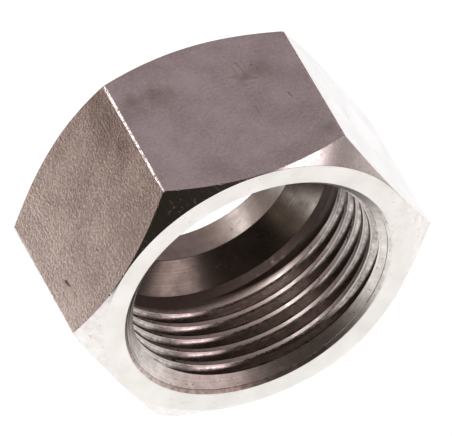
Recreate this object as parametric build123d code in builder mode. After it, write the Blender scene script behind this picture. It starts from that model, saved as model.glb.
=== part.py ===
from build123d import *
from math import cos, radians, tan
import os

# Union nut of a compression fitting for 22 mm tube, thread M30 x 2, in millimetres.
# The thread's axis runs along Y, and the mouth that takes the fitting's body faces -Y.
# The nut lies on one flat of its hexagon, as a hexagonal nut does when it is put down.
# The origin is on the axis, midway between the two end faces.

# From the tube outwards: the fitting's wall, the nominal thread, then the nut's wall to a flat
tube_diameter = 22.0
tube_clearance = 0.25
fitting_wall = 4.0
nut_wall = 3.0
thread_diameter = tube_diameter + 2 * fitting_wall
across_flats = thread_diameter + 2 * nut_wall

# Hexagonal bar, its six long edges slightly worn
nut_height = 20.0
bar_edge_radius = 0.35

# Turned ends: a cone takes the hexagon's corners down to a round end face
end_face_step = 0.1
corner_cone_angle = 32.0

# Mouth: a broken edge, then the countersink that leads into the thread
mouth_rim = 0.5
mouth_edge_break = 0.3
countersink_angle = 90.0

# Tube's side: the cone that presses the cutting ring onto the tube, then the tube's bore
ring_cone_angle = 90.0
tube_bore_length = 3.6
tube_edge_break = 0.3

# The thread is bored to its core, which stands in from the nominal diameter by 5/8 of a sharp V
thread_pitch = 2.0
thread_flank_angle = 60.0
sharp_v_height = thread_pitch / (2 * tan(radians(thread_flank_angle / 2)))
thread_depth = sharp_v_height * 5 / 8
thread_radius = thread_diameter / 2
core_radius = thread_radius - thread_depth

# The bore's places along Y, from the mouth's face to the tube's side
mouth_y = -nut_height / 2
back_y = nut_height / 2
mouth_radius = thread_radius + mouth_rim
countersink_radius = mouth_radius - mouth_edge_break
countersink_y = mouth_y + mouth_edge_break
core_y = countersink_y + (countersink_radius - core_radius) / tan(radians(countersink_angle / 2))
tube_radius = (tube_diameter + tube_clearance) / 2
cone_end_y = back_y - tube_bore_length
cone_start_y = cone_end_y - (core_radius - tube_radius) / tan(radians(ring_cone_angle / 2))

# The corner cones start at the end faces, and the turned blank is wider than the bar's corners
end_face_radius = across_flats / 2 - end_face_step
blank_radius = across_flats / 2 / cos(radians(30)) + end_face_step
corner_cone_depth = (blank_radius - end_face_radius) * tan(radians(corner_cone_angle))

with BuildPart() as union_nut:
    # The hexagon stands with a flat up and a flat down
    with BuildSketch(Plane.XZ.offset(-nut_height / 2)) as bar_section:
        RegularPolygon(radius=across_flats / 2, side_count=6, major_radius=False)
        fillet(bar_section.vertices(), radius=bar_edge_radius)
    extrude(amount=nut_height)

    # Both ends are turned: where a cone meets the flats it leaves the nut's curved edges
    with BuildSketch(Plane.XY) as turned_section:
        with BuildLine():
            Polyline(
                (0, mouth_y),
                (end_face_radius, mouth_y),
                (blank_radius, mouth_y + corner_cone_depth),
                (blank_radius, back_y - corner_cone_depth),
                (end_face_radius, back_y),
                (0, back_y),
                close=True,
            )
        make_face()
    revolve(axis=Axis.Y, mode=Mode.INTERSECT)

    # The stepped bore: broken edge, countersink, thread core, ring cone and tube bore
    with BuildSketch(Plane.XY) as bore_section:
        with BuildLine():
            Polyline(
                (0, mouth_y),
                (mouth_radius, mouth_y),
                (countersink_radius, countersink_y),
                (core_radius, core_y),
                (core_radius, cone_start_y),
                (tube_radius, cone_end_y),
                (tube_radius, back_y - tube_edge_break),
                (tube_radius + tube_edge_break, back_y),
                (0, back_y),
                close=True,
            )
        make_face()
    revolve(axis=Axis.Y, mode=Mode.SUBTRACT)

union_nut.part.label = "union_nut"
os.makedirs("parts", exist_ok=True)
export_step(union_nut.part, "parts/union_nut.step")
print("core radius", round(core_radius, 4), "from", round(core_y, 3), "to", round(cone_start_y, 3))
print("tube bore radius", round(tube_radius, 4), "from", round(cone_end_y, 3))
print("volume", round(union_nut.part.volume, 1), "valid", union_nut.part.is_valid)
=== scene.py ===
# %% [markdown]
# # A union nut for a 22 mm tube
# The nut is turned from hexagonal steel bar. Its thread pulls it onto a fitting's body, and the cone
# in its bore squeezes a cutting ring onto the tube. Here it lies on one flat with its mouth towards
# the camera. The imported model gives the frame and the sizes, and everything below is in that frame.

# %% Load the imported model
from math import atan2, cos, degrees, hypot, pi, radians, sin, tan
from random import Random
import bmesh
import bpy
from mathutils import Matrix, Vector


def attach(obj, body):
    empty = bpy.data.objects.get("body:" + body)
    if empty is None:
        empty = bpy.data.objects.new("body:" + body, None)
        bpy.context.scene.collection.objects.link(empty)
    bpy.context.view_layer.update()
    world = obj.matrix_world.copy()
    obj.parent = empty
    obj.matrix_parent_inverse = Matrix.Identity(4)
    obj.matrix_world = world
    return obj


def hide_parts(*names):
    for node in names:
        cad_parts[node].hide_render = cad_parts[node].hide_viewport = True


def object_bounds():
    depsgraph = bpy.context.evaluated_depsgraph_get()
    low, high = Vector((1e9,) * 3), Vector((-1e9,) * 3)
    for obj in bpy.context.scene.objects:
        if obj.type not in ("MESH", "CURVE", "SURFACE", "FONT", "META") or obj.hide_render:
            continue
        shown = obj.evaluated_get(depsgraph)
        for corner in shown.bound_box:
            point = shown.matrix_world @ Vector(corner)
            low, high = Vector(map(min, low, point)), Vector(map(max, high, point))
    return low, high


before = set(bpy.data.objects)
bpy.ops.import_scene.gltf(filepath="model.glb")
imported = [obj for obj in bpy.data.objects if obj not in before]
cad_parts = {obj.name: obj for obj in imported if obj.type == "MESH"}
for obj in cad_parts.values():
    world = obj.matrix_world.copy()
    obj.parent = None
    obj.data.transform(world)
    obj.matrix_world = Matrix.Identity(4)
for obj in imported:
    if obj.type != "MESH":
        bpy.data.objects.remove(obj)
cad_box = [list(corner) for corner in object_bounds()]
mm = 0.001
print("nut's box in mm:", [[round(v / mm, 3) for v in corner] for corner in cad_box])

# %% [markdown]
# ## The camera
# The photograph was taken from far away with a long lens, so the nut's parallel edges stay almost
# parallel. The camera stands about a metre off, to the left of the mouth and above it, and is turned
# a little about its own line of sight. It aims at a point close to the middle of the nut.

# %% Place the camera
azimuth, elevation, roll = radians(-23.704), radians(47.584), radians(0.736)
camera_place = Vector((-289.526, -660.398, 790.405)) * mm
turn = Matrix.Rotation(azimuth, 3, "Z") @ Matrix.Rotation(pi / 2 - elevation, 3, "X")
turn = turn @ Matrix.Rotation(roll, 3, "Z")
bpy.ops.object.camera_add(location=camera_place, rotation=turn.to_euler())
camera = bpy.context.object
camera.data.sensor_width = 36
camera.data.lens = 796.46
bpy.context.scene.camera = camera
bpy.context.scene.view_settings.view_transform = "Standard"
print("camera", round(camera.location.length, 3), "m from the nut, lens", camera.data.lens, "mm")

# %% [markdown]
# ## Floor and backdrop
# A small white sheet is enough, because the camera looks down on it. It has to look white in the
# picture and in the steel, and still carry the nut's soft shadow. So most of its white is a glow that
# only the camera and the reflections see, and the rest is ordinary diffuse white that takes shadow.

# %% Small helpers for node trees
def add_node(tree, kind, settings=None, **sockets):
    """A new node with its settings made and its sockets filled or linked: Scale by name, _0 by number."""
    made = tree.nodes.new(kind)
    for name, value in (settings or {}).items():
        setattr(made, name, value)
    for name, value in sockets.items():
        socket = made.inputs[int(name[1:])] if name[0] == "_" else made.inputs[name.replace("_", " ")]
        if isinstance(value, bpy.types.NodeSocket):
            tree.links.new(value, socket)
        else:
            socket.default_value = value
    return made


def calculate(tree, operation, a, b=0.0, c=0.0):
    """A Math node's result."""
    return add_node(tree, "ShaderNodeMath", {"operation": operation}, _0=a, _1=b, _2=c).outputs[0]


def new_material(name):
    """An empty material, its tree and its output node."""
    made = bpy.data.materials.new(name)
    made.use_nodes = True
    made.node_tree.nodes.clear()
    return made, made.node_tree, made.node_tree.nodes.new("ShaderNodeOutputMaterial")


# %% Lay the floor
floor_radius, floor_x, floor_y = 100, -8, 40
cool_white, glow_strength, sheet_white = (0.97, 1, 1, 1), 0.89, (0.8, 0.8, 0.8, 1)
bpy.ops.object.select_all(action="DESELECT")
bpy.ops.mesh.primitive_circle_add(
    vertices=96, radius=floor_radius * mm, fill_type="NGON",
    location=(floor_x * mm, floor_y * mm, cad_box[0][2]))
floor = bpy.context.object
floor.name = "floor"
floor_finish, tree, output = new_material("white sheet")
rays = add_node(tree, "ShaderNodeLightPath").outputs
mirrored = calculate(tree, "MAXIMUM", rays["Is Glossy Ray"], rays["Is Transmission Ray"])
shown = calculate(tree, "MAXIMUM", rays["Is Camera Ray"], mirrored)
strength = calculate(tree, "MULTIPLY", shown, glow_strength)
glow = add_node(tree, "ShaderNodeEmission", Color=cool_white, Strength=strength)
white = add_node(tree, "ShaderNodeBsdfDiffuse", Color=sheet_white)
sheet = add_node(tree, "ShaderNodeAddShader", _0=white.outputs[0], _1=glow.outputs[0])
tree.links.new(sheet.outputs[0], output.inputs["Surface"])
floor.data.materials.append(floor_finish)
print("floor at", round(cad_box[0][2] / mm, 2), "mm")

# %% [markdown]
# ## Light
# Bright steel shows almost nothing but the room around it, so the light is a picture of the studio.
# Over and behind the nut hangs soft grey cloth, and the side behind the camera is dark. That dark side
# is what makes the corner cone black under the top flat. Past the floor's edge the camera sees white.

# %% The room
bright_side = (0.1, 0.8, 0.59)
room_colours = [
    (0.36, (0.024, 0.019, 0.015, 1)),
    (0.55, (0.10, 0.075, 0.065, 1)),
    (0.75, (0.30, 0.225, 0.20, 1)),
    (0.97, (0.29, 0.222, 0.228, 1)),
]
world = bpy.data.worlds.new("studio")
bpy.context.scene.world = world
world.use_nodes = True
tree = world.node_tree
tree.nodes.clear()
direction = add_node(tree, "ShaderNodeTexCoord").outputs["Generated"]


def alignment(aim):
    """How closely the ray points along aim, from -1 to 1."""
    product = add_node(tree, "ShaderNodeVectorMath", {"operation": "DOT_PRODUCT"}, _0=direction, _1=aim)
    return product.outputs["Value"]


nearness = calculate(tree, "MULTIPLY_ADD", alignment(bright_side), 0.5, 0.5)
ramp = add_node(tree, "ShaderNodeValToRGB", Fac=nearness)
stops = ramp.color_ramp.elements
stops[0].position, stops[0].color = room_colours[0]
stops[1].position, stops[1].color = room_colours[-1]
for place, colour in room_colours[1:-1]:
    stops.new(place).color = colour
room_colour = ramp.outputs["Color"]
print("the room fades over", len(stops), "greys")

# %% [markdown]
# Cloths and boards stand round the nut. On its right is a lit cloth, and in front of that a board with
# a narrow bright card below it. The card draws the bright bands in the thread and on the corner cone.
# On the left a dark cloth hangs below a pale one, a small soft box shines in front of the pale one,
# and a grey board stands nearer to the camera. Each one is a soft round patch on the world, given by
# its direction, its inner and outer size in degrees and its colour.

# %% Boards and cards
boards = {
    "lit cloth": (107, -6, 12, 34, (0.72, 0.62, 0.60)),
    "board": (135, 28, 6, 23, (0.82, 0.66, 0.64)),
    "grey board": (-128, 0, 4, 18, (0.2, 0.16, 0.13)),
    "pale cloth": (-28, 40, 8, 36, (0.5, 0.38, 0.34)),
    "dark cloth": (-60, -8, 8, 30, (0.2, 0.14, 0.118)),
    "card": (148, 8, 4, 11, (2.5, 2.1, 2.15)),
    "soft box": (-39, 37, 5, 12, (4.2, 3.85, 3.85)),
}


def towards(azimuth, elevation):
    """A direction from the nut: azimuth in degrees from +Y towards +X, elevation above the horizon."""
    level = cos(radians(elevation))
    ahead, up = cos(radians(azimuth)) * level, sin(radians(elevation))
    return Vector((sin(radians(azimuth)) * level, ahead, up))


def blend_colours(tree, factor, first, second):
    """The first colour where the factor is 0 and the second where it is 1."""
    return add_node(tree, "ShaderNodeMix", {"data_type": "RGBA"}, _0=factor, _6=first, _7=second).outputs[2]


for azimuth, elevation, inner, outer, colour in boards.values():
    patch = add_node(
        tree, "ShaderNodeMapRange", {"interpolation_type": "SMOOTHSTEP"},
        _0=alignment(towards(azimuth, elevation)), _1=cos(radians(outer)), _2=cos(radians(inner)))
    room_colour = blend_colours(tree, patch.outputs[0], room_colour, (*colour, 1))
rays = add_node(tree, "ShaderNodeLightPath").outputs
room = add_node(tree, "ShaderNodeBackground", Color=room_colour)
backdrop = add_node(tree, "ShaderNodeBackground", Color=(1, 1, 1, 1))
seen = add_node(
    tree, "ShaderNodeMixShader", Fac=rays["Is Camera Ray"], _1=room.outputs[0], _2=backdrop.outputs[0])
tree.links.new(seen.outputs[0], tree.nodes.new("ShaderNodeOutputWorld").inputs["Surface"])
print("the room is lit by", len(boards), "patches and", len(tree.nodes), "nodes")

# %% [markdown]
# ## The bar
# Every hexagonal nut starts as drawn bar, so this one does too: a six-sided cylinder, a little longer
# than the nut, that lies with one flat up and one flat down. On the real bar the long edges are
# rubbed round. The bevel operator gives each of them a narrow land, which catches the light as they do.

# %% Draw the bar
across_flats, height, edge_radius, spare = 36.0, 20.0, 0.35, 1
corner_radius = across_flats / 2 / cos(radians(30))
bpy.ops.object.select_all(action="DESELECT")
bpy.ops.mesh.primitive_cylinder_add(
    vertices=6, radius=corner_radius * mm, depth=(height + 2 * spare) * mm,
    rotation=(pi / 2, radians(30), 0))
nut = bpy.context.object
nut.name = "threaded_nut"
bpy.ops.object.transform_apply(location=True, rotation=True, scale=True)


def edit_selected(piece, kind, wanted):
    """Opens the piece in edit mode with only the wanted vertices, edges or faces selected; counts them."""
    if bpy.context.object.mode != "OBJECT":
        bpy.ops.object.mode_set(mode="OBJECT")
    bpy.ops.object.select_all(action="DESELECT")
    piece.select_set(True)
    bpy.context.view_layer.objects.active = piece
    bpy.ops.object.mode_set(mode="EDIT")
    bpy.ops.mesh.select_mode(type=kind)
    bpy.ops.mesh.select_all(action="DESELECT")
    shape = bmesh.from_edit_mesh(piece.data)
    shape.normal_update()
    items = {"VERT": shape.verts, "EDGE": shape.edges, "FACE": shape.faces}[kind]
    chosen = [item for item in items if wanted(item)]
    for item in chosen:
        item.select = True
    shape.select_flush_mode()
    bmesh.update_edit_mesh(piece.data)
    return len(chosen)


def long_edge(edge):
    """Whether an edge runs from end to end of the bar."""
    return abs(edge.verts[0].co.y - edge.verts[1].co.y) > height * mm


count = edit_selected(nut, "EDGE", long_edge)
land = edge_radius * tan(radians(30))
bpy.ops.mesh.bevel(offset=land * mm, segments=1, affect="EDGES", clamp_overlap=False)
bpy.ops.object.mode_set(mode="OBJECT")
print("long edges rubbed down:", count)

# %% [markdown]
# ## Turning the ends
# On the lathe a tool takes the bar's corners down to a cone. Where that cone meets the flats it leaves
# the curved edges that make a nut look like a nut. A turned blank is made from a disc that is extruded
# and resized along the axis, and the part that bar and blank share is kept.

# %% A lathe for solids
round_steps = 192


def turned(name, profile):
    """A solid turned about Y from its profile of (place along the axis, radius), in millimetres."""
    bpy.ops.object.select_all(action="DESELECT")
    (y, radius), rest = profile[0], profile[1:]
    bpy.ops.mesh.primitive_circle_add(
        vertices=round_steps, radius=radius * mm, fill_type="NGON",
        location=(0, y * mm, 0), rotation=(pi / 2, 0, 0))
    solid = bpy.context.object
    solid.name = name
    bpy.ops.object.transform_apply(location=True, rotation=True, scale=True)
    bpy.ops.object.mode_set(mode="EDIT")
    bpy.ops.mesh.select_all(action="SELECT")
    for next_y, next_radius in rest:
        bpy.ops.mesh.extrude_region_move(TRANSFORM_OT_translate={"value": (0, (next_y - y) * mm, 0)})
        size = next_radius / radius
        bpy.ops.transform.resize(value=(size, 1, size), center_override=(0, next_y * mm, 0))
        y, radius = next_y, next_radius
    bpy.ops.mesh.select_all(action="SELECT")
    bpy.ops.mesh.normals_make_consistent(inside=False)
    bpy.ops.object.mode_set(mode="OBJECT")
    return solid


def combine(body, tool, operation):
    """Keeps what body and tool share, or cuts the tool away, and removes the tool."""
    bpy.ops.object.select_all(action="DESELECT")
    body.select_set(True)
    bpy.context.view_layer.objects.active = body
    cut = body.modifiers.new("cut", "BOOLEAN")
    cut.operation, cut.solver, cut.object = operation, "MANIFOLD", tool
    bpy.ops.object.modifier_apply(modifier=cut.name)
    bpy.data.objects.remove(tool)
    print(body.name, "has", len(body.data.polygons), "faces after", operation.lower())


# %% Turn the corners
mouth_y, back_y = -height / 2, height / 2
face_step, cone_slope = 0.1, tan(radians(32))
face_radius, blank_radius = across_flats / 2 - face_step, corner_radius + face_step
cone_depth = (blank_radius - face_radius) * cone_slope
blank = turned("blank", [
    (mouth_y, face_radius), (mouth_y + cone_depth, blank_radius),
    (back_y - cone_depth, blank_radius), (back_y, face_radius),
])
combine(nut, blank, "INTERSECT")

# %% [markdown]
# ## The bore
# The bore is one stepped hole: a broken edge and a countersink at the mouth, the core for the thread,
# the cone for the cutting ring, the hole for the tube and the broken edge behind it. It is turned as a
# solid, as the blank was, and cut away. The tool also left a mark between the broken edge and the
# countersink. A thin ring that stands a little off the axis cuts it, so it fades out on one side.

# %% Bore the nut
thread_radius, pitch = 15.0, 2.0
core_radius = thread_radius - pitch * 5 / 16 / tan(radians(30))
mouth_radius, mark_radius, mark_step = 15.5, 15.12, 0.01
mark_y = mouth_y + mouth_radius - mark_radius + mark_step
break_slope = (mouth_radius - mark_radius) / (mark_y - mouth_y)
core_y = mouth_y + mouth_radius - core_radius
tube_radius, tube_y, tube_break = 11.125, 6.4, 0.3
cone_y = tube_y - (core_radius - tube_radius)
overshoot = 0.6
bore = turned("bore", [
    (mouth_y - overshoot, mouth_radius + overshoot * break_slope), (mark_y, mark_radius),
    (core_y, core_radius), (cone_y, core_radius), (tube_y, tube_radius),
    (back_y - tube_break, tube_radius), (back_y + tube_break, tube_radius + 2 * tube_break),
])
combine(nut, bore, "DIFFERENCE")

# %% Leave the tool's mark
mark_side, off_axis = radians(240), 0.06
ring_inset, ring_thickness = 0.018, 0.05
bpy.ops.object.select_all(action="DESELECT")
bpy.ops.mesh.primitive_torus_add(
    major_segments=round_steps, minor_segments=8,
    major_radius=(mark_radius - ring_inset) * mm, minor_radius=ring_thickness * mm,
    location=(off_axis * cos(mark_side) * mm, mark_y * mm, off_axis * sin(mark_side) * mm),
    rotation=(pi / 2, 0, 0))
tool_mark = bpy.context.object
bpy.ops.object.transform_apply(location=True, rotation=True, scale=True)
combine(nut, tool_mark, "DIFFERENCE")

# %% [markdown]
# ## The thread
# A tap cuts a V-shaped groove along a right-hand helix, two millimetres further in at each turn. The
# groove's section starts as a plane: its outer edge is narrowed to the root, and its inner edge is
# drawn out in steps, which leaves the crests slightly rounded. The Screw modifier sweeps the outline.
# In the last fifth of a turn or so the groove leaves the wall again, as the tap's lead does, and the
# result is cut away.

# %% Shape the groove's section
turns, run_out, crest_round, root_round = 6.32, 0.22, 0.1, 0.06
start_y, half_core, half_root = -10.95, pitch * 3 / 8, pitch / 16
overlap, clearance, near_root, same_place = 0.02, 0.3, 0.1, 1e-6
flank, flattest = radians(30), 75
flank_x = core_radius + crest_round * tan(flank) * cos(flank)
flank_half = half_core - crest_round * tan(flank) * sin(flank)
bpy.ops.object.select_all(action="DESELECT")
bpy.ops.mesh.primitive_plane_add(size=1 * mm)
groove = bpy.context.object
groove.name = "groove"
bpy.ops.object.mode_set(mode="EDIT")
bpy.ops.mesh.select_all(action="SELECT")
bpy.ops.transform.resize(value=(thread_radius - flank_x, 2 * flank_half, 1), center_override=(0, 0, 0))
bpy.ops.transform.translate(value=((thread_radius + flank_x) / 2 * mm, start_y * mm, 0))
edit_selected(groove, "VERT", lambda vert: vert.co.x > (thread_radius - near_root) * mm)
bpy.ops.transform.resize(value=(1, half_root / flank_half, 1), center_override=(0, start_y * mm, 0))
bpy.ops.mesh.bevel(offset=root_round * mm, segments=2, affect="VERTICES", clamp_overlap=False)
edit_selected(
    groove, "EDGE", lambda edge: all(abs(vert.co.x - flank_x * mm) < same_place for vert in edge.verts))
x, half = flank_x, flank_half
for lean in (45, 60, flattest):
    next_x = flank_x - crest_round * (sin(radians(lean)) - sin(flank))
    next_half = flank_half + crest_round * (cos(flank) - cos(radians(lean)))
    if lean == flattest:
        next_half += (next_x - core_radius + overlap) * tan(radians(lean))
        next_x = core_radius - overlap
    bpy.ops.mesh.extrude_region_move(TRANSFORM_OT_translate={"value": ((next_x - x) * mm, 0, 0)})
    bpy.ops.transform.resize(value=(1, next_half / half, 1), center_override=(0, start_y * mm, 0))
    x, half = next_x, next_half
bpy.ops.mesh.extrude_region_move(TRANSFORM_OT_translate={"value": (-clearance * mm, 0, 0)})
bpy.ops.mesh.select_all(action="SELECT")
bpy.ops.mesh.dissolve_limited(angle_limit=radians(0.1))
bpy.ops.mesh.delete(type="ONLY_FACE")
bpy.ops.object.mode_set(mode="OBJECT")
per_ring = len(groove.data.vertices)
print("points round the groove's section:", per_ring, "half width at the core", round(half, 3), "mm")

# %% Sweep the groove and draw its end out
rings = round((turns + run_out) * round_steps)
fading = round(run_out * round_steps)
lift = thread_radius - core_radius + 0.05    # a little more than the groove's depth
sweep = groove.modifiers.new("sweep", "SCREW")
sweep.axis, sweep.use_normal_calculate = "Y", True
sweep.angle = 2 * pi * (turns + run_out)
sweep.screw_offset = pitch * (turns + run_out) * mm
sweep.steps = sweep.render_steps = rings
bpy.ops.object.modifier_apply(modifier="sweep")
# The groove starts at the top, half a step round, so that its points lie between the bore's corners
groove.rotation_euler = (0, -radians(90 + 180 / round_steps), 0)
bpy.ops.object.transform_apply(location=True, rotation=True, scale=True)
for step in range(1, fading + 1):
    first = (rings - fading + step) * per_ring
    at = groove.data.vertices[first].co
    out = Vector((at.x, 0, at.z)).normalized()
    edit_selected(groove, "VERT", lambda vert: first <= vert.index < first + per_ring)
    bpy.ops.transform.translate(value=-out * lift * step / fading * mm)
bpy.ops.mesh.select_all(action="SELECT")
bpy.ops.mesh.fill_holes(sides=0)
bpy.ops.mesh.select_all(action="SELECT")
bpy.ops.mesh.normals_make_consistent(inside=False)
bpy.ops.object.mode_set(mode="OBJECT")
print("groove swept in", rings, "steps,", fading, "of them fading")
combine(nut, groove, "DIFFERENCE")

# %% [markdown]
# ## Broken edges
# No edge on steel is perfectly sharp, and the thin bright lines round a nut are its narrow rounded
# edges. So the curved edges between the cones and the flats, the rims of the two end faces and the
# edges of the bore get a very small bevel. Each kind is found by its place or by what meets there.

# %% Break the edges
# In metres, how far a point on a circle may seem to stand off it
near_y, near_radius = 2e-6, 6e-6
# On the outside of the nut, a flat's normal hardly leans along Y and a corner cone's leans this much
outside_radius, flat_lean, cone_leans = 17.5, 0.1, (0.8, 0.9)


def on_circle(edge, y, radius):
    """Whether both ends of an edge lie on a circle round the axis."""
    return all(
        abs(v.co.y - y * mm) < near_y and abs(hypot(v.co.x, v.co.z) - radius * mm) < near_radius
        for v in edge.verts)


def cone_meets_flat(edge):
    """Whether a flat and a corner cone meet at an edge, told by how far their normals lean along Y."""
    if len(edge.link_faces) != 2 or min(hypot(v.co.x, v.co.z) for v in edge.verts) < outside_radius * mm:
        return False
    lean = sorted(abs(face.normal.y) for face in edge.link_faces)
    return lean[0] < flat_lean and cone_leans[0] < lean[1] < cone_leans[1]


def end_edge(edge):
    """Whether an edge is on the rim of an end face."""
    return on_circle(edge, mouth_y, face_radius) or on_circle(edge, back_y, face_radius)


def bore_edge(edge):
    """Whether an edge is on one of the bore's rims."""
    circles = ((mouth_y, mouth_radius), (back_y, tube_radius + tube_break), (tube_y, tube_radius))
    return any(on_circle(edge, y, radius) for y, radius in circles)


edge_kinds = [
    ("cone edges", cone_meets_flat, 0.04),
    ("face edges", end_edge, 0.03),
    ("bore edges", bore_edge, 0.06),
]
for label, wanted, offset in edge_kinds:
    count = edit_selected(nut, "EDGE", wanted)
    bpy.ops.mesh.bevel(offset=offset * mm, segments=2, affect="EDGES", clamp_overlap=False)
    bpy.ops.object.mode_set(mode="OBJECT")
    print(label, "broken:", count)

# %% [markdown]
# ## Wear
# The nut has lain among others in a box. Its curved edges are nicked, its long edges are dented, and a few
# scratches and pits lie on the flats, the ring and the countersink. Each mark is a small stretched ball
# that is sunk a little way into the surface. The balls are joined and cut away together, and the rim of
# each mark stays a sharp edge, so that the even surface round it is shaded as before.

# %% Place the marks
chance = Random(22)
marks = []


def rim_at(around):
    """The direction away from the axis at an angle in degrees from +X towards +Z."""
    return Vector((cos(radians(around)), 0, sin(radians(around))))


def sink_mark(place, outward, along, length, width, depth):
    """Notes a ball on the surface at place: long along one direction, and depth deep in the metal."""
    outward, along = Vector(outward).normalized(), Vector(along).normalized()
    # Tall enough for the ball's middle to stay above the surface
    tall = max(2.2 * depth, 0.3 * width)
    turn = Matrix((along, outward.cross(along), outward)).transposed()
    marks.append((Vector(place) + outward * (tall - depth), turn, (length / 2, width / 2, tall)))


def on_flat(facing, across, y):
    """A point on the flat that faces that way, the flat's outward direction and the one across it."""
    out = rim_at(facing)
    side = Vector((-out.z, 0, out.x))
    return out * across_flats / 2 + side * across + Vector((0, y, 0)), out, side


def curved_edge_y(across):
    """How far from the nut's middle the corner cone crosses a flat."""
    return height / 2 - (hypot(across_flats / 2, across) - face_radius) * cone_slope


nick_start, nick_gap, dent_start, dent_gap = -9.4, 2.35, -7.2, 2.0
half_flat, corner_lean = 10.39, 0.577
for facing in range(30, 390, 60):
    for end in (-1, 1):
        for step in range(9):
            across = nick_start + nick_gap * step + chance.uniform(-0.9, 0.9)
            place, out, side = on_flat(facing, across, end * curved_edge_y(across))
            slope = side - Vector((0, end * across / hypot(across_flats / 2, across) * cone_slope, 0))
            length, width = chance.uniform(0.2, 0.9), chance.uniform(0.15, 0.32)
            sink_mark(place, out + Vector((0, end, 0)), slope, length, width, chance.uniform(0.02, 0.08))
    for step in range(8):
        y = dent_start + dent_gap * step + chance.uniform(-0.5, 0.5)
        place, out, side = on_flat(facing, half_flat, y)
        corner = out + side * corner_lean
        length, depth = chance.uniform(0.6, 1.7), chance.uniform(0.03, 0.08)
        sink_mark(place - corner * 0.05, corner, (0, 1, 0), length, 0.4, depth)
print("nicks and dents on the edges:", len(marks))

# %% [markdown]
# The larger marks have their own places: the scratches on the upper flat, a scratch and a nick with a
# streak behind it on the left flat, and pits on the ring and in the countersink. Small nicks are spread
# along the crests of the thread.

# %% Place the scratches and pits
# Facing, across and along the flat, length, width, depth, and lean from the nut's axis in degrees
scratches = [
    (90, -4.1, 4.7, 3.6, 0.17, 0.02, 12), (90, -3.4, 4.7, 2.4, 0.13, 0.014, 9),
    (90, -7.4, -0.5, 1.2, 0.18, 0.025, 13), (90, -3.4, -1.5, 3.5, 0.1, 0.01, 2),
    (90, -2.7, 4.1, 2.0, 0.12, 0.01, 66), (90, -4.9, 3.1, 1.4, 0.12, 0.01, 66),
    (90, -5.3, 5.0, 0.35, 0.22, 0.03, 20), (90, -5.7, 4.3, 0.3, 0.2, 0.03, 50),
    (90, 5.9, 5.6, 0.8, 0.1, 0.015, 60), (90, 6.3, 4.6, 0.7, 0.1, 0.015, 75),
    (90, 4.9, 5.0, 0.5, 0.12, 0.015, 20), (90, 0.4, -4.4, 0.4, 0.14, 0.015, 80),
    (150, 4.2, 5.6, 1.9, 0.18, 0.04, 24), (150, 7.5, -3.4, 1.6, 0.42, 0.16, 12),
    (150, 7.3, -5.4, 1.6, 0.18, 0.035, 2), (150, -2.0, 2.2, 1.2, 0.14, 0.03, -40),
    (150, 1.5, -4.5, 0.9, 0.16, 0.04, 30), (30, 2.0, 1.0, 2.2, 0.1, 0.015, 12),
]
# Radius, angle round the axis and size
ring_pits = [
    (16.88, 238, 0.24), (15.75, 13, 0.26), (15.7, 9, 0.16), (15.9, 351, 0.2), (16.6, 262, 0.16),
    (17.0, 25, 0.18), (16.3, 120, 0.2),
]
countersink_pits = [
    (14.8, 237, 0.3), (14.75, 240.5, 0.34), (14.6, 231, 0.2), (14.5, 254, 0.22), (14.9, 262, 0.2),
    (14.6, 346, 0.22), (14.8, 352, 0.3), (14.5, 4, 0.2),
]
pit_depth = 0.05
for facing, across, y, length, width, depth, lean in scratches:
    place, out, side = on_flat(facing, across, y)
    along = Vector((0, cos(radians(lean)), 0)) + side * sin(radians(lean))
    sink_mark(place, out, along, length, width, depth)
for radius, around, size in ring_pits:
    rim = rim_at(around)
    sink_mark(rim * radius + Vector((0, mouth_y, 0)), (0, -1, 0), rim, size, size * 0.8, pit_depth)
for radius, around, size in countersink_pits:
    rim = rim_at(around)
    place = rim * radius + Vector((0, mouth_y + mouth_radius - radius, 0))
    sink_mark(place, Vector((0, -1, 0)) - rim, rim.cross((0, 1, 0)), size, size * 0.7, pit_depth)
first_turn, turn_gap = 0.7, 0.122
for step in range(38):
    turn = first_turn + turn_gap * step + chance.uniform(-0.05, 0.05)
    rim = rim_at(90 - 360 * turn)
    y = start_y + pitch * (turn + 0.5) + chance.uniform(-0.15, 0.15)
    length, width = chance.uniform(0.15, 0.5), chance.uniform(0.12, 0.3)
    place = rim * core_radius + Vector((0, y, 0))
    sink_mark(place, -rim, rim.cross((0, 1, 0)), length, width, chance.uniform(0.02, 0.07))
print("marks in all:", len(marks))

# %% [markdown]
# One ball is made and copied for every mark, each copy with its own mesh. The cut gives the faces that
# a ball leaves behind the ball's own material slot, so they can be told from the untouched ones. Two
# stand-in materials are enough for that.

# %% Cut the marks
bpy.ops.object.select_all(action="DESELECT")
bpy.ops.mesh.primitive_uv_sphere_add(segments=10, ring_count=6, radius=1 * mm)
balls = []
for place, turn, size in marks:
    if balls:
        bpy.ops.object.duplicate()
    ball = bpy.context.object
    ball.location, ball.rotation_euler, ball.scale = place * mm, turn.to_euler(), size
    balls.append(ball)
for ball in balls:
    ball.select_set(True)
bpy.ops.object.join()
dents = bpy.context.object
dents.name = "marks"
bpy.ops.object.transform_apply(location=True, rotation=True, scale=True)
nut.data.materials.clear()
for label in ("untouched", "marked"):
    stand_in = bpy.data.materials.new(label)
    nut.data.materials.append(stand_in)
    dents.data.materials.append(stand_in)
for face in dents.data.polygons:
    face.material_index = 1
for face in nut.data.polygons:
    face.material_index = 0
combine(nut, dents, "DIFFERENCE")
marked = {face.index for face in nut.data.polygons if face.material_index == 1}
count = edit_selected(nut, "FACE", lambda face: face.material_index == 1)
bpy.ops.mesh.region_to_loop()
bpy.ops.mesh.mark_sharp()
bpy.ops.object.mode_set(mode="OBJECT")
print("marks:", len(marks), "with", count, "faces")

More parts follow.
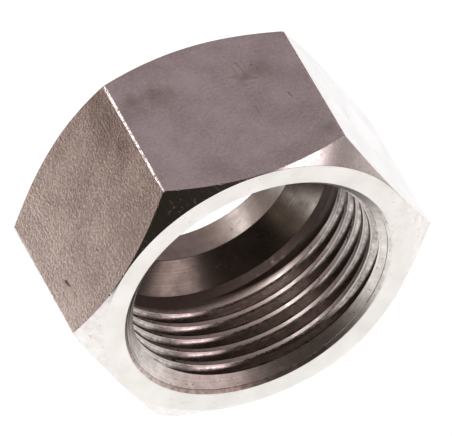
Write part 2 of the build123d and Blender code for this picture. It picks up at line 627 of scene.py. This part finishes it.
# %% [markdown]
# ## Shading
# A turned surface is a row of narrow strips here, so it is shaded smooth, and edges sharper than 28
# degrees stay crisp. The Weighted Normal modifier then turns the shading at each corner towards the
# largest face there, which keeps the flats flat beside their small bevels. It takes no notice of faces
# as small as these are in metres, so the nut is a thousand times larger while it works. It comes back
# smaller by a millionth, so that rounding can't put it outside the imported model's box.

# %% Smooth what is round and keep what is flat
shrink = 0.999999
bpy.ops.object.select_all(action="DESELECT")
nut.select_set(True)
bpy.context.view_layer.objects.active = nut
bpy.ops.object.shade_smooth_by_angle(angle=radians(28))
nut.scale = (1 / mm, 1 / mm, 1 / mm)
bpy.ops.object.transform_apply(location=False, rotation=False, scale=True)
level = nut.modifiers.new("level", "WEIGHTED_NORMAL")
level.keep_sharp = True
bpy.ops.object.modifier_apply(modifier="level")
nut.scale = (mm * shrink, mm * shrink, mm * shrink)
bpy.ops.object.transform_apply(location=False, rotation=False, scale=True)
print("nut has", len(nut.data.polygons), "faces")

# %% [markdown]
# ## Steel
# The flats keep the skin of the drawn bar, dull and slightly grained, with faint lines along the bar
# and a few discoloured spots on the upper flat. The left flat is darkened with painted shade towards
# its upper edge, over its back half. There are three such skins: one for the upper flat, one for the
# flat on its right, tinted a little bluer as a painted reflection of the cool floor, and one for the
# others. A darker one is for the grime in the marks. They are metal shaders whose colour, roughness
# and height come from noise that is read in the nut's own coordinates, so the pattern stays on the
# steel from every side.

# %% What all finishes use
def place_in_mm(tree):
    """The point on the nut in millimetres."""
    point = add_node(tree, "ShaderNodeTexCoord").outputs["Object"]
    scaled = add_node(tree, "ShaderNodeVectorMath", {"operation": "SCALE"}, _0=point, Scale=1 / mm)
    return scaled.outputs["Vector"]


def noise(tree, vector, scale, detail=2.0, roughness=0.5):
    """Noise with about `scale` patches in a millimetre."""
    made = add_node(
        tree, "ShaderNodeTexNoise", Vector=vector, Scale=scale, Detail=detail, Roughness=roughness)
    return made.outputs["Fac"]


def between(tree, value, low, high, to_low=0.0, to_high=1.0):
    """Value moved from one range to another, and kept inside it."""
    return add_node(tree, "ShaderNodeMapRange", _0=value, _1=low, _2=high, _3=to_low, _4=to_high).outputs[0]


def finish_metal(tree, output, colour, shine, relief, depth, metallic=1.0):
    """Joins the colour, the roughness and the relief, depth millimetres deep, in a metal shader."""
    bump = add_node(tree, "ShaderNodeBump", Strength=1.0, Distance=depth * mm, Height=relief)
    metal = add_node(
        tree, "ShaderNodeBsdfPrincipled", Base_Color=colour, Metallic=metallic, Roughness=shine,
        Normal=bump.outputs[0])
    tree.links.new(metal.outputs[0], output.inputs["Surface"])


# %% The drawn flats
def drawn_steel(name, dark, light, grain, fine, lined, roughness, depth, dark_patch_colour=None, dark_patches=()):
    """The skin of drawn bar: blotches, grain, faint lines along the axis, and darker patches at (x, y, z,
    reach): discoloured spots on the upper flat, painted shade on the left one.
    """
    made, tree, output = new_material(name)
    point = place_in_mm(tree)
    stretched = add_node(tree, "ShaderNodeVectorMath", {"operation": "MULTIPLY"}, _0=point, _1=(1, 0.06, 1))
    blotches = noise(tree, point, scale=0.2, detail=4.0, roughness=0.6)
    grains = noise(tree, point, scale=fine, detail=3.0, roughness=0.65)
    lines = noise(tree, stretched.outputs["Vector"], scale=3.5)
    tone = calculate(tree, "MULTIPLY_ADD", calculate(tree, "SUBTRACT", grains, 0.5), grain, blotches)
    colour = blend_colours(tree, between(tree, tone, 0.32, 0.68), dark, light)
    if dark_patches:
        ragged = noise(tree, point, scale=1.1, detail=4.0, roughness=0.7)
    # Each patch darkens the colour round a point: a discoloured spot on the upper flat, painted shade along
    # the left flat's upper edge.
    for *place, reach in dark_patches:
        gap = add_node(tree, "ShaderNodeVectorMath", {"operation": "DISTANCE"}, _0=point, _1=place)
        ragged_gap = calculate(tree, "MULTIPLY_ADD", ragged, -2.4 * reach, gap.outputs["Value"])
        darkened = between(tree, ragged_gap, -1.2 * reach, 0.2 * reach, 1.0, 0.0)
        colour = blend_colours(tree, darkened, colour, dark_patch_colour)
    shine = between(tree, blotches, 0.3, 0.7, roughness - 0.02, roughness + 0.02)
    relief = calculate(tree, "MULTIPLY_ADD", lines, lined, calculate(tree, "MULTIPLY", grains, grain))
    finish_metal(tree, output, colour, shine, relief, depth)
    return made


top_stains = [
    (5.9, 4.2, 18, 1.2), (3.9, 3.5, 18, 1.0), (-5.6, 4.9, 18, 1.5), (-8.4, 4.7, 18, 1.1),
    (9.0, -6.5, 18, 0.9),
]
# Painted shade: these three patches make the left flat darker towards its upper edge.
left_painted_shade = [(-11.4, 8.0, 16.3, 2.6), (-11.4, 4.5, 16.3, 2.2), (-11.4, 1.0, 16.3, 1.6)]
smooth_flat = drawn_steel(
    "drawn flat", dark=(0.70, 0.69, 0.685, 1), light=(0.97, 0.97, 0.98, 1), grain=0.8, fine=3.0,
    lined=0.6, roughness=0.24, depth=0.014, dark_patch_colour=(0.58, 0.585, 0.53, 1), dark_patches=top_stains)
# The flat on the right is the same drawn skin with no patches, tinted a little bluer: a painted reflection of
# the cool white floor it mirrors.
cool_tinted_flat = drawn_steel(
    "clean flat", dark=(0.72, 0.725, 0.74, 1), light=(0.965, 0.98, 1, 1), grain=0.8, fine=3.0,
    lined=0.6, roughness=0.24, depth=0.014)
# The patch colour given here is painted shade along the left flat's upper edge.
grainy_flat = drawn_steel(
    "grained flat", dark=(0.58, 0.485, 0.435, 1), light=(0.86, 0.735, 0.675, 1), grain=1.5, fine=3.3,
    lined=0.35, roughness=0.3, depth=0.042, dark_patch_colour=(0.44, 0.36, 0.32, 1), dark_patches=left_painted_shade)
grime = drawn_steel(
    "grime in a mark", dark=(0.28, 0.24, 0.22, 1), light=(0.56, 0.50, 0.47, 1), grain=1.2, fine=3.0,
    lined=0.2, roughness=0.45, depth=0.01)
print("stains on the upper flat:", len(top_stains), "and on the left one:", len(left_painted_shade))

# %% [markdown]
# The ends and the bore are turned, so they are brighter and carry fine rings round the axis. Where
# they were handled or left alone they have gone blotchy, with a few dark specks and some dull dust.
# The ring cone and the tube's bore lie deep inside and are the darkest. The long edges are rubbed
# bright, and only small low spots keep the dull colour.

# %% The turned faces
def parts_of(tree, vector):
    """The three parts of a vector."""
    return add_node(tree, "ShaderNodeSeparateXYZ", _0=vector).outputs


def from_axis(tree, parts):
    """The distance from the nut's axis."""
    x_squared = calculate(tree, "MULTIPLY", parts["X"], parts["X"])
    z_squared = calculate(tree, "MULTIPLY", parts["Z"], parts["Z"])
    return calculate(tree, "SQRT", calculate(tree, "ADD", x_squared, z_squared))


def turned_steel(name, dark, light, roughness, ring_depth, patchy=0.75, patch=0.3, dusty=0.2):
    """Steel with fine rings round the axis, blotches, a few dark specks and some dull dust."""
    made, tree, output = new_material(name)
    point = place_in_mm(tree)
    parts = parts_of(tree, point)
    along = calculate(tree, "MULTIPLY_ADD", parts["Y"], -0.83, from_axis(tree, parts))
    rings = add_node(
        tree, "ShaderNodeTexNoise", {"noise_dimensions": "1D"}, W=along, Scale=4.5, Detail=3.0,
        Roughness=0.6).outputs["Fac"]
    blotches = noise(tree, point, scale=patch, detail=4.0, roughness=0.6)
    tone = calculate(tree, "MULTIPLY_ADD", rings, 1 - patchy, calculate(tree, "MULTIPLY", blotches, patchy))
    clean = blend_colours(tree, between(tree, tone, 0.35, 0.65), dark, light)
    specks = between(tree, noise(tree, point, scale=3.5, detail=1.0), 0.72, 0.78)
    colour = blend_colours(tree, specks, clean, (0.25, 0.2, 0.17, 1))
    settled = noise(tree, point, scale=2.1, detail=3.0, roughness=0.7)
    dust = between(tree, settled, 0.6, 0.72, 0.0, dusty)
    gloss = between(tree, tone, 0.3, 0.7, roughness + 0.04, roughness - 0.04)
    shine = calculate(tree, "MULTIPLY_ADD", dust, 0.7, gloss)
    bare = calculate(tree, "SUBTRACT", 1.0, dust)
    finish_metal(tree, output, colour, shine, rings, ring_depth, metallic=bare)
    return made


turned_face = turned_steel(
    "turned face", dark=(0.76, 0.735, 0.70, 1), light=(0.89, 0.87, 0.84, 1),
    roughness=0.16, ring_depth=0.003)
corner_cone = turned_steel(
    "corner cone", dark=(0.75, 0.725, 0.705, 1), light=(0.91, 0.88, 0.86, 1),
    roughness=0.22, ring_depth=0.004, patchy=0.8, patch=1.1, dusty=0.3)
ring_cone = turned_steel(
    "ring cone", dark=(0.28, 0.245, 0.225, 1), light=(0.56, 0.50, 0.46, 1),
    roughness=0.23, ring_depth=0.003, patchy=0.7, patch=0.5, dusty=0.08)
tube_bore = turned_steel(
    "tube bore", dark=(0.39, 0.365, 0.35, 1), light=(0.55, 0.515, 0.48, 1),
    roughness=0.38, ring_depth=0.003, patchy=0.85, patch=0.5)
countersunk = turned_steel(
    "countersunk steel", dark=(0.64, 0.59, 0.56, 1), light=(0.98, 0.94, 0.91, 1),
    roughness=0.34, ring_depth=0.014, patchy=0.6, patch=0.9, dusty=0.3)
rubbed_rim = turned_steel(
    "rubbed rim", dark=(0.42, 0.34, 0.31, 1), light=(0.80, 0.71, 0.67, 1),
    roughness=0.34, ring_depth=0.01, patchy=0.9, patch=1.8)
turned_finishes = (turned_face, corner_cone, ring_cone, tube_bore, countersunk, rubbed_rim)
print("turned finishes:", [made.name for made in turned_finishes])


# %% The rubbed long edges
def worn_steel(name):
    """Bright rubbed metal, speckled where the wear left small low spots."""
    made, tree, output = new_material(name)
    specks = noise(tree, place_in_mm(tree), scale=3.2, roughness=0.6)
    worn = between(tree, specks, 0.33, 0.47)
    colour = blend_colours(tree, worn, (0.42, 0.36, 0.34, 1), (0.97, 0.95, 0.95, 1))
    finish_metal(tree, output, colour, between(tree, specks, 0.36, 0.6, 0.5, 0.34), specks, 0.035)
    return made


worn_edge = worn_steel("worn edge")
print("nodes in the worn edge's finish:", len(worn_edge.node_tree.nodes))

# %% [markdown]
# The thread was cut in one pass, so its marks run along the helix and come back at every turn. The
# pattern is read on a circle that closes once in each pitch, which joins it up all the way round. The
# crests are rubbed bright and the flanks are dull and brownish. The roots are near black, partly from
# dirt settled there and partly from painted shade of the groove. Deep in the bore, where no fitting
# rubs, everything is stained and duller still.

# %% The thread's finish
def thread_finish(name, pitch, core, nominal):
    """Steel between two radii, with streaks along a helix of that pitch."""
    made, tree, output = new_material(name)
    point = place_in_mm(tree)
    parts = parts_of(tree, point)
    radius = from_axis(tree, parts)
    angle = calculate(tree, "ARCTAN2", parts["Z"], parts["X"])
    along = calculate(tree, "MULTIPLY_ADD", parts["Y"], 2 * pi / pitch, angle)
    circle = add_node(
        tree, "ShaderNodeCombineXYZ", _0=calculate(tree, "COSINE", along),
        _1=calculate(tree, "SINE", along), _2=calculate(tree, "MULTIPLY", parts["X"], 0.06))
    streaks = add_node(
        tree, "ShaderNodeTexNoise", {"noise_dimensions": "4D"}, Vector=circle.outputs[0],
        W=calculate(tree, "MULTIPLY", parts["Z"], 0.06), Scale=3.0, Detail=3.0, Roughness=0.55).outputs["Fac"]
    mottling = noise(tree, point, scale=1.3, detail=4.0, roughness=0.65)
    tone = calculate(tree, "MULTIPLY_ADD", streaks, 0.5, calculate(tree, "MULTIPLY", mottling, 0.5))
    darkened = between(tree, calculate(tree, "MULTIPLY_ADD", mottling, 0.6, parts["Y"]), 1.25, 1.95)
    streaked = between(tree, tone, 0.38, 0.62)
    flank = blend_colours(tree, streaked, (0.24, 0.205, 0.185, 1), (0.70, 0.64, 0.615, 1))
    flank = blend_colours(tree, darkened, flank, (0.22, 0.185, 0.17, 1))
    crest = blend_colours(tree, darkened, (0.76, 0.71, 0.68, 1), (0.25, 0.21, 0.19, 1))
    uneven = calculate(tree, "SUBTRACT", mottling, 0.5)
    ragged = calculate(tree, "MULTIPLY_ADD", uneven, 0.7, radius)
    below_crest = between(tree, ragged, core + 0.02, core + 0.16)
    upper = blend_colours(tree, below_crest, crest, flank)
    # Dirt and painted shade: the roots are made near black, for the dirt settled in them and for the shade
    # deep in the groove.
    root_dirt_and_shade = between(tree, ragged, nominal - 0.14, nominal + 0.02)
    colour = blend_colours(tree, root_dirt_and_shade, upper, (0.05, 0.036, 0.028, 1))
    crest_shine = calculate(tree, "MULTIPLY_ADD", below_crest, -0.3, 0.4)
    shine = calculate(tree, "MAXIMUM", between(tree, tone, 0.36, 0.64, 0.26, 0.15), crest_shine)
    shine = calculate(tree, "MULTIPLY_ADD", darkened, 0.28, shine)
    finish_metal(tree, output, colour, shine, tone, 0.006)
    return made


thread_steel = thread_finish("cut thread", pitch, core_radius, thread_radius)
print("nodes in the thread's finish:", len(thread_steel.node_tree.nodes))

# %% [markdown]
# ## A finish for each face
# The finishes go to the faces by place: the part of the nut that a face belongs to follows from its
# distance from the axis, its place along it and the way it looks. Grime goes only to marks that lie
# well inside a flat, because a nick on an edge is rubbed clean.

# %% Give each face its finish
finishes = [
    smooth_flat, cool_tinted_flat, grainy_flat, worn_edge, turned_face, corner_cone, countersunk, rubbed_rim,
    thread_steel, ring_cone, tube_bore, grime,
]
nut.data.materials.clear()
for finish in finishes:
    nut.data.materials.append(finish)
# Depths under a flat and distances across it, in millimetres
mark_reach, skin_reach = 0.35, 0.13
inner_flat, land_start, land_slack = 9.7, 10.17, 0.08
# Gaps to the next surface, and the place along X where the rim is no longer rubbed, in millimetres
edge_gap, bevel_gap, end_gap, cone_gap, rim_gap, touching = 0.3, 0.1, 0.01, 0.04, 0.07, 0.005
rubbed_until = 8
# How far the normals of an end face, of a land's bevel and of the countersink lean along Y
end_lean, land_lean, countersink_lean, lean_slack = 0.95, 0.02, sin(radians(45)), 0.12


def finish_for(middle, normal, sunk):
    """The finish of a face, from its place in millimetres, the way it looks and whether it is in a mark."""
    radius, around = hypot(middle.x, middle.z), degrees(atan2(middle.z, middle.x))
    facing = 30 + 60 * round((around - 30) / 60)
    depth = across_flats / 2 - radius * cos(radians(around - facing))
    across = abs(radius * sin(radians(around - facing)))
    to_edge = curved_edge_y(across) - abs(middle.y)
    lean = abs(normal.y)
    if sunk and depth < mark_reach and across < inner_flat and to_edge > edge_gap:
        return grime
    if depth < skin_reach and (lean < flat_lean or to_edge > bevel_gap):
        if across > land_start - land_slack * (lean > land_lean):
            return worn_edge
        return {30: cool_tinted_flat, 90: smooth_flat}.get(facing, grainy_flat)
    if lean > end_lean and abs(middle.y) > height / 2 - end_gap:
        return turned_face
    if radius > face_radius - cone_gap:
        return corner_cone
    if middle.y < 0 and radius > mark_radius or middle.y > back_y - tube_break - bevel_gap:
        if radius > mouth_radius + rim_gap:
            return turned_face
        return rubbed_rim if middle.x < rubbed_until or middle.y > 0 else countersunk
    if middle.y < core_y and normal.y < 0 and abs(lean - countersink_lean) < lean_slack:
        return countersunk
    if middle.y < cone_y - touching:
        return thread_steel
    return ring_cone if middle.y < tube_y - touching else tube_bore


counts = {finish.name: 0 for finish in finishes}
for face in nut.data.polygons:
    finish = finish_for(face.center / mm, face.normal, face.index in marked)
    face.material_index = finishes.index(finish)
    counts[finish.name] += 1
print("faces by finish:", counts)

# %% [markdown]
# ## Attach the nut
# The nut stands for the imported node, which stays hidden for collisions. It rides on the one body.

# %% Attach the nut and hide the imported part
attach(nut, "root")
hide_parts("union_nut")
